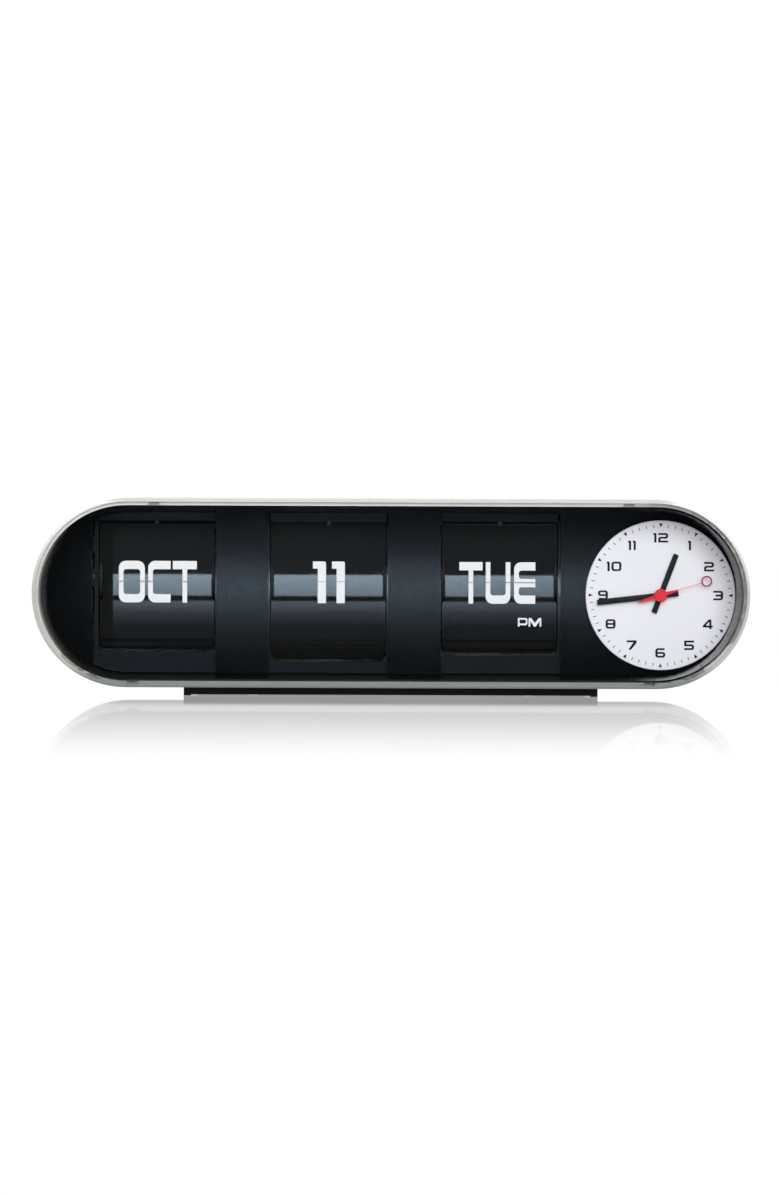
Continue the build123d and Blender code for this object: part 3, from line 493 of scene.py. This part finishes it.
def half_figure(name, outlines, upper):
    """The part of the figures above or below the split, closed again along the cut."""
    mesh = sheet_mesh(name, outlines, INK)
    side = 1 if upper else -1
    shape = bmesh.new()
    shape.from_mesh(mesh)
    everything = shape.verts[:] + shape.edges[:] + shape.faces[:]
    cut = bmesh.ops.bisect_plane(shape, geom=everything, dist=1e-8, plane_co=(0, side * INK_MARGIN * MM, 0),
                                 plane_no=(0, side, 0), clear_inner=True)
    rim = [edge for edge in cut["geom_cut"] if isinstance(edge, bmesh.types.BMEdge)]
    bmesh.ops.edgeloop_fill(shape, edges=rim)
    bmesh.ops.recalc_face_normals(shape, faces=shape.faces)
    shape.to_mesh(mesh)
    shape.free()
    return mesh


def on_leaf(edge, lean, upper, half_thickness):
    """Places a half figure on a leaf: edge is the middle of the leaf's inner edge, lean its angle from upright."""
    along = Vector((0, sin(lean), cos(lean)))
    outward = Vector((0, -cos(lean), sin(lean)))
    if not upper:
        along.negate()
        outward.negate()
    place = Matrix((Vector((1, 0, 0)), along, outward)).transposed().to_4x4()
    place.translation = edge + outward * half_thickness
    return place


joint_at = {joint["name"]: Vector(joint["pos_m"]) for joint in frame["joints"] if "pos_m" in joint}

for name, (leaf_count, shown, following) in FLIP_MODULES.items():
    leaf_low, leaf_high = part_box(f"{name}_flip_leaf")
    pin = joint_at[f"{name}_leaf_flip"]
    axis = joint_at[f"{name}_drum_turn"]
    pin_radius = axis.y - pin.y
    inner = pin.z - leaf_low.z
    half = (leaf_high.y - leaf_low.y) / 2
    step = 2 * pi / leaf_count

    def inner_edge(turn, lean):
        """Middle of the inner edge of the leaf that is a turn of the drum behind the front one."""
        hinge = Vector((pin.x, axis.y - pin_radius * cos(turn), axis.z + pin_radius * sin(turn)))
        return hinge - inner * Vector((0, sin(lean), cos(lean)))

    lean = pi * (step / pi) ** LEAN_POWER
    flip_body = f"{name}_flip_leaf"
    prints = (
        ("shown_upper", shown, True, 0, 0, flip_body),
        ("shown_lower", shown, False, -step, pi, "root"),
        ("next_upper", following, True, step, lean, "root"),
        ("next_lower", following, False, 0, 0, flip_body),
    )
    for label, outlines, upper, turn, tilt, body in prints:
        mesh = half_figure(f"{name}_{label}", outlines, upper)
        place = on_leaf(inner_edge(turn, tilt), tilt, upper, half)
        piece(f"{name}_{label}", mesh, ink_white, body, place)


# ---- the second hand's ring is a darker red than the rest
CRIMSON = (0.34, 0.0, 0.035)
CRIMSON_FROM = 0.0210           # distances from the dial's axis where it starts, and where it is full
CRIMSON_FULL = 0.0212

red_tree = materials["hand_red"].node_tree
red_place = red_tree.nodes.new("ShaderNodeTexCoord")
red_distance = red_tree.nodes.new("ShaderNodeVectorMath")
red_distance.operation = "DISTANCE"
red_distance.inputs[1].default_value = (joint_at["second_hand_turn"].x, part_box("second_hand")[0].y,
                                        joint_at["second_hand_turn"].z)
red_tree.links.new(red_place.outputs["Object"], red_distance.inputs[0])
recolour(red_tree, red_tree.nodes["Principled BSDF"],
         ramp(red_tree, red_distance.outputs["Value"], CRIMSON_FROM, CRIMSON_FULL, 0, 1), CRIMSON)


# ---- dial print: numerals, a triangle at each hour and a tick at each minute
NUMERAL_RADIUS = 29.0
NUMERAL_HEIGHT = 4.75
NUMERAL_WIDTH = 5.0
NUMERAL_ONE_WIDTH = 1.5
NUMERAL_GAP = 0.9
NUMERAL_PEN = (1.1, 0.95, 1.3, 0.45)    # upright stroke, level stroke, outer and inner corner radius
NUMERAL_INWARD = {2: 0.03, 4: 0.05, 10: 0.065}  # share of the way towards the upright through twelve
TRIANGLE = (36.2, 2.1, 0.85)    # outer radius, height, half width
TICK = (34.1, 35.7, 0.22)       # inner and outer radius, half width

dial_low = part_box("dial")[0]
dial_middle = Vector((joint_at["hour_hand_turn"].x, dial_low.y, joint_at["hour_hand_turn"].z))
front_facing = Matrix((Vector((1, 0, 0)), Vector((0, 0, 1)), Vector((0, -1, 0)))).transposed().to_4x4()
on_dial = Matrix.Translation(dial_middle) @ front_facing


def clock_point(angle, across, out):
    """A place on the dial: out from the middle and across, at an angle clockwise from twelve."""
    return (out * sin(angle) + across * cos(angle), out * cos(angle) - across * sin(angle))


numerals, ticks = [], []
for hour in range(1, 13):
    angle = radians(30 * hour)
    text = str(hour)
    widths = [NUMERAL_ONE_WIDTH if letter == "1" else NUMERAL_WIDTH for letter in text]
    x, z = clock_point(angle, 0, NUMERAL_RADIUS)
    x *= 1 - NUMERAL_INWARD.get(hour, 0)
    left = x - (sum(widths) + NUMERAL_GAP * (len(text) - 1)) / 2
    for letter, width in zip(text, widths):
        numerals += word([(letter, left, width)], z - NUMERAL_HEIGHT / 2, NUMERAL_HEIGHT, *NUMERAL_PEN)
        left += width + NUMERAL_GAP
    edge, height, half = TRIANGLE
    numerals.append([clock_point(angle, across, out)
                     for across, out in ((-half, edge), (half, edge), (0, edge - height))])
for minute in range(60):
    if minute % 5:
        inside, outside, half = TICK
        ticks.append([clock_point(radians(6 * minute), across, out)
                      for across, out in ((-half, inside), (-half, outside), (half, outside), (half, inside))])
piece("dial_numerals", sheet_mesh("dial_numerals", numerals, INK), ink_black, "root", on_dial)
piece("dial_ticks", sheet_mesh("dial_ticks", ticks, INK), ink_grey, "root", on_dial)


# ---- hands: ridged blades with a rounded hub, in place of the plain ones
HOUR_ANGLE = radians(20.7)      # clockwise from twelve
MINUTE_ANGLE = radians(263.4)
RIDGE = 0.3                     # height of the fold above a blade's edges
HUB_CHAMFER = 0.2
LATHE_STEPS = 48


def lathe(shape, profile):
    """Adds a closed ring of faces round the local Z axis; profile is (radius, height) from the bore outwards."""
    angles = [2 * pi * i / LATHE_STEPS for i in range(LATHE_STEPS)]
    rings = [[shape.verts.new((radius * cos(angle), radius * sin(angle), height)) for angle in angles]
             for radius, height in profile]
    for ring, following in zip(rings, rings[1:] + rings[:1]):
        for i in range(LATHE_STEPS):
            j = (i + 1) % LATHE_STEPS
            shape.faces.new((ring[i], ring[j], following[j], following[i]))


def forward(y):
    """How far a depth in millimetres lies in front of the dial."""
    return dial_low.y / MM - y


def ridged_hand(name, angle, outline, sheet, hub, pipe):
    """A blade folded along its middle, so its two halves catch the light apart.

    outline is (tail, shoulder, length, half width, half width of the tip); sheet is (back, edge), the depths
    of the back and of the folded edges; hub is (radius, back, front) and pipe (outer, bore, back). Millimetres,
    with depths as y in the CAD frame.
    """
    tail, shoulder, length, half, tip_half = outline
    back, edge = (forward(y) for y in sheet)
    spin = Matrix.Rotation(-angle, 4, "Z")
    shape = bmesh.new()
    rows = []
    for y, reach in ((-tail, half), (shoulder, half), (length, tip_half)):
        section = [(-reach, back), (-reach, edge), (0, edge + RIDGE), (reach, edge), (reach, back)]
        rows.append([shape.verts.new(spin @ Vector((x, y, z))) for x, z in section])
    for row, following in zip(rows, rows[1:]):
        for i in range(5):
            j = (i + 1) % 5
            shape.faces.new((row[i], row[j], following[j], following[i]))
    shape.faces.new(rows[0])
    shape.faces.new(rows[-1][::-1])
    radius, hub_back, hub_front = hub[0], forward(hub[1]), forward(hub[2])
    outer, bore, pipe_back = pipe[0], pipe[1], forward(pipe[2])
    lathe(shape, [(bore, pipe_back), (outer, pipe_back), (outer, hub_back), (radius, hub_back),
                  (radius, hub_front - HUB_CHAMFER), (radius - HUB_CHAMFER, hub_front), (bore, hub_front)])
    bmesh.ops.recalc_face_normals(shape, faces=shape.faces)
    mesh = bpy.data.meshes.new(name)
    shape.to_mesh(mesh)
    shape.free()
    thing = piece(name, mesh, materials["hand_black"], name.removesuffix("_blade"),
                  on_dial @ Matrix.Scale(MM, 4))
    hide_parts(name.removesuffix("_blade"))


ridged_hand("hour_hand_blade", HOUR_ANGLE, (9.4, 17.7, 22.1, 1.4, 1.3), (-21.7, -21.8), (3.2, -21.6, -22.3),
            (2.12, 1.35, -16.5))
ridged_hand("minute_hand_blade", MINUTE_ANGLE, (9.0, 25.8, 32.2, 1.45, 1.34), (-22.8, -22.9),
            (2.9, -22.5, -23.5), (1.27, 0.7, -16.5))


# ---- floor: white, with a weak mirror in front of the clock that fades with distance
FLOOR_REACH = 8                 # half the floor's width
MIRROR = 0.42
MIRROR_FULL_Y = -0.15           # full from here back to the clock
MIRROR_END_Y = -1.05
NEAR_MIRROR = 0.28              # added close to the clock
NEAR_FULL_Y = -0.15
NEAR_END_Y = -0.22
BACK_MIRROR = 0.2               # share of the mirror left behind the clock
BACK_START_Y = 0.0
BACK_END_Y = 0.06
SIDE_START_X = 0.19             # the mirror fades out beside the clock
SIDE_END_X = 0.26
FLOOR_SEEN = 1.01               # brightness of the floor to the camera, and as a light on the clock
FLOOR_BOUNCE = 0.4

floor_mesh = bpy.data.meshes.new("floor")
floor_corners = ((-1, -1), (1, -1), (1, 1), (-1, 1))
floor_mesh.from_pydata([(x * FLOOR_REACH, y * FLOOR_REACH, 0) for x, y in floor_corners], [], [(0, 1, 2, 3)])
floor = bpy.data.objects.new("floor", floor_mesh)
scene.collection.objects.link(floor)
floor.visible_glossy = False

white = bare_material("white_floor")
floor_tree = white.node_tree
floor_shader = add_node(floor_tree, "ShaderNodeEmission", Color=(1, 1, 1, 1))
floor_path = floor_tree.nodes.new("ShaderNodeLightPath")
floor_glow = ramp(floor_tree, floor_path.outputs["Is Diffuse Ray"], 0, 1, FLOOR_SEEN, FLOOR_BOUNCE)
floor_tree.links.new(floor_glow, floor_shader.inputs["Strength"])
floor_gloss = add_node(floor_tree, "ShaderNodeBsdfGlossy", Color=(1, 1, 1, 1), Roughness=0.02)
floor_axes = place_axes(floor_tree)
floor_x, floor_y = floor_axes["X"], floor_axes["Y"]
far_fade = ramp(floor_tree, floor_y, MIRROR_END_Y, MIRROR_FULL_Y, 0, MIRROR, "SMOOTHSTEP")
near_fade = ramp(floor_tree, floor_y, NEAR_END_Y, NEAR_FULL_Y, 0, NEAR_MIRROR)
back_fade = ramp(floor_tree, floor_y, BACK_START_Y, BACK_END_Y, 1, BACK_MIRROR)
side_fade = combined(floor_tree, "MINIMUM", ramp(floor_tree, floor_x, -SIDE_END_X, -SIDE_START_X, 0, 1),
                     ramp(floor_tree, floor_x, SIDE_START_X, SIDE_END_X, 1, 0))
floor_share = combined(floor_tree, "MULTIPLY", combined(floor_tree, "ADD", far_fade, near_fade),
                       combined(floor_tree, "MULTIPLY", back_fade, side_fade))
show_mix(floor_tree, floor_share, floor_shader, floor_gloss)
floor_mesh.materials.append(white)


# ---- light: a white room that is dark in front of the clock, and soft lamps from the front and above
DARK_SIDE = 0.02                # brightness of the room in front of the clock, and behind it
LIGHT_SIDE = 1.04
DARK_TO = -0.85                 # the room turns from dark to light between these y of a direction
LIGHT_FROM = 0.35
BACKDROP = 1.05                 # brightness of the room to the camera

world = bpy.data.worlds.new("studio")
world.use_nodes = True
scene.world = world
sky = world.node_tree
path = sky.nodes.new("ShaderNodeLightPath")
glow = sky.nodes["Background"]
glow.inputs["Color"].default_value = (0.98, 0.99, 1, 1)
sky_y = place_axes(sky, "Generated")["Y"]
sky_strength = ramp(sky, sky_y, DARK_TO, LIGHT_FROM, DARK_SIDE, LIGHT_SIDE, "SMOOTHSTEP")
sky.links.new(sky_strength, glow.inputs["Strength"])
seen = add_node(sky, "ShaderNodeBackground", Color=(1, 1, 1, 1), Strength=BACKDROP)
show_mix(sky, path.outputs["Is Camera Ray"], glow, seen, "World Output")


def lamp(name, direction, strength, softness):
    """A distant lamp as wide as softness, in radians, which lights evenly and doesn't show in reflections."""
    light = bpy.data.lights.new(name, "SUN")
    light.energy = strength
    light.angle = softness
    holder = bpy.data.objects.new(name, light)
    holder.rotation_euler = Vector(direction).to_track_quat("-Z", "Y").to_euler()
    holder.visible_glossy = False
    scene.collection.objects.link(holder)


lamp("front_lamp", (-0.12, 1, -0.2), 3.05, radians(50))
lamp("top_lamp", (0, 0.1, -1), 0.6, radians(70))
lamp("back_lamp", (-0.3, -1, -0.9), 0.8, radians(60))


# ---- light panel: a bright bar and a fading glow under it, which the glossy leaves and the tray mirror.
# It shines towards the clock only, and is clear from behind.
PANEL_DISTANCE = 0.5            # in front of the leaves
PANEL_BRIGHTNESS = 8.3
PANEL_LEFT = -0.140             # edges of the mirrored light, at the leaves
PANEL_RIGHT = 0.130
PANEL_TOP = 0.0945
PANEL_BOTTOM = 0.0090
# height at the leaves, as a share of the panel, and brightness there
PANEL_PROFILE = ((0, 0.010), (0.070, 0.006), (0.187, 0.006), (0.299, 0.022), (0.379, 0.115), (0.447, 0.32),
                 (0.4496, 0.0), (0.478, 0.0), (0.480, 0.60), (0.6026, 0.97), (0.6044, 0.028), (0.816, 0.018),
                 (0.921, 0.0), (0.928, 0.016), (1, 0.016))
PANEL_TINT = (0.64, 0.81, 1)
PANEL_FADE_FROM = 0.55          # share of the panel's width from which it fades towards the right
PANEL_FADE_TO = 0.7             # share of its brightness left at the right edge


def facing_leaves(x, z):
    """Where the light panel must reach for the camera to see its edge at a place on the leaves."""
    stretch = PANEL_DISTANCE / CAMERA_DISTANCE
    return (x + (x - eye.x) * stretch, z + (z - eye.z) * stretch)


leaf_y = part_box("date_flip_leaf")[0].y
left, low = facing_leaves(PANEL_LEFT, PANEL_BOTTOM)
right, high = facing_leaves(PANEL_RIGHT, PANEL_TOP)
panel_y = leaf_y - PANEL_DISTANCE
panel_mesh = bpy.data.meshes.new("light_panel")
panel_corners = ((left, low), (right, low), (right, high), (left, high))
panel_mesh.from_pydata([(x, panel_y, z) for x, z in panel_corners], [], [(0, 3, 2, 1)])
light_panel = bpy.data.objects.new("light_panel", panel_mesh)
scene.collection.objects.link(light_panel)
light_panel.visible_camera = False
light_panel.visible_diffuse = False
light_panel.visible_shadow = False
light_panel.visible_transmission = False

bar = bare_material("light_bar")
bar_tree = bar.node_tree
bar_light = bar_tree.nodes.new("ShaderNodeEmission")
bar_axes = place_axes(bar_tree, "Generated")
bar_ramp = bar_tree.nodes.new("ShaderNodeValToRGB")
stops = bar_ramp.color_ramp.elements
for share, level in PANEL_PROFILE[1:-1]:
    stops.new(share)
for stop, (share, level) in zip(stops, PANEL_PROFILE):
    stop.position = share
    stop.color = (*(level * channel for channel in PANEL_TINT), 1)
bar_tree.links.new(bar_axes["Z"], bar_ramp.inputs["Fac"])
bar_tree.links.new(bar_ramp.outputs["Color"], bar_light.inputs["Color"])
bar_strength = ramp(bar_tree, bar_axes["X"], PANEL_FADE_FROM, 1, PANEL_BRIGHTNESS,
                    PANEL_BRIGHTNESS * PANEL_FADE_TO)
bar_tree.links.new(bar_strength, bar_light.inputs["Strength"])
bar_clear = bar_tree.nodes.new("ShaderNodeBsdfTransparent")
bar_side = bar_tree.nodes.new("ShaderNodeNewGeometry")
show_mix(bar_tree, bar_side.outputs["Backfacing"], bar_light, bar_clear)
panel_mesh.materials.append(bar)
